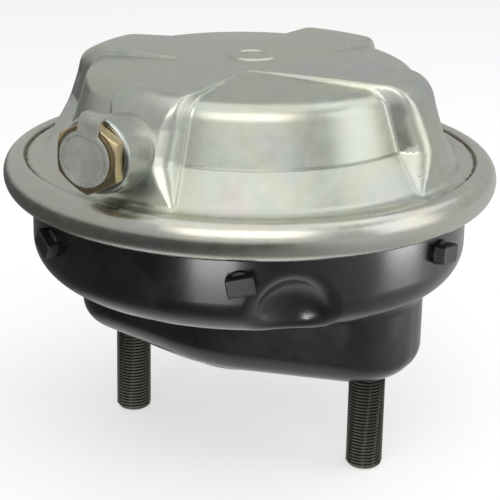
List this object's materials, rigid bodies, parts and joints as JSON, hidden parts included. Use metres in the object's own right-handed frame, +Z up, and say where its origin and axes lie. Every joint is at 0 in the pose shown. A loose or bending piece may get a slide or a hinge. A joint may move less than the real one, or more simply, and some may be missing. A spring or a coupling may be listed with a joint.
{
  "type": "air brake chamber",
  "caption": "Round diaphragm brake chamber with a pressed steel cover, crimped rim, air port, sprung push rod and mounting studs on a long pad.",
  "frame": {"origin": "centre of the mounting face, on the push rod's axis", "axes": "+X along the line of the two studs, -Y towards the air port, +Z up the push rod towards the pressure cover"},
  "size_m": [0.2134, 0.2178, 0.1782],
  "materials": {
    "zinc_sheet": "satin zinc plating with a faint pale chromate sheen",
    "zinc_ring": "satin zinc plating, rolled lines round the ring",
    "zinc_boss": "turned and zinc plated",
    "zinc_inner": "plain zinc plating",
    "black_coat": "semi-gloss black coating",
    "black_plastic": "moulded",
    "dark_steel": "dark phosphate, light oil",
    "rod_steel": "turned steel",
    "spring_steel": "oil hardened wire",
    "gold_chromate": "yellow chromate",
    "clear_cap": "translucent moulded",
    "collar_plastic": "moulded",
    "seal_rubber": "smooth",
    "diaphragm_rubber": "fabric reinforced",
    "bellows_rubber": "moulded"
  },
  "bodies": {
    "chamber": {"pressure_cover": "zinc_sheet", "crimp_ring": "zinc_ring", "port_boss": "zinc_boss", "housing": "black_coat", "vent_plugs": "black_plastic", "stiffener_plate": "zinc_inner", "mounting_studs": "dark_steel", "port_adapter": "gold_chromate", "adapter_seal": "seal_rubber", "diaphragm": "diaphragm_rubber", "seal_collar": "collar_plastic", "bellows": "bellows_rubber", "bellows_retainer": "zinc_inner", "spring_seat": "zinc_inner", "return_spring": "spring_steel"},
    "rod": {"push_rod": "rod_steel", "push_plate": "zinc_inner", "rod_nut": "rod_steel", "bellows_clamp": "rod_steel"},
    "cap": {"transport_cap": "clear_cap"}
  },
  "joints": [
    {"name": "rod_slide", "type": "slide", "parent": "chamber", "child": "rod", "axis": [0, 0, -1], "range_m": [0, 0.064], "stiffness_N_per_m": 2500, "springref_m": -0.02, "deforming": ["return_spring", "bellows", "diaphragm"]},
    {"name": "cap_pull", "type": "slide", "parent": "chamber", "child": "cap", "axis": [0, -1, 0], "range_m": [0, 0.05]}
  ]
}
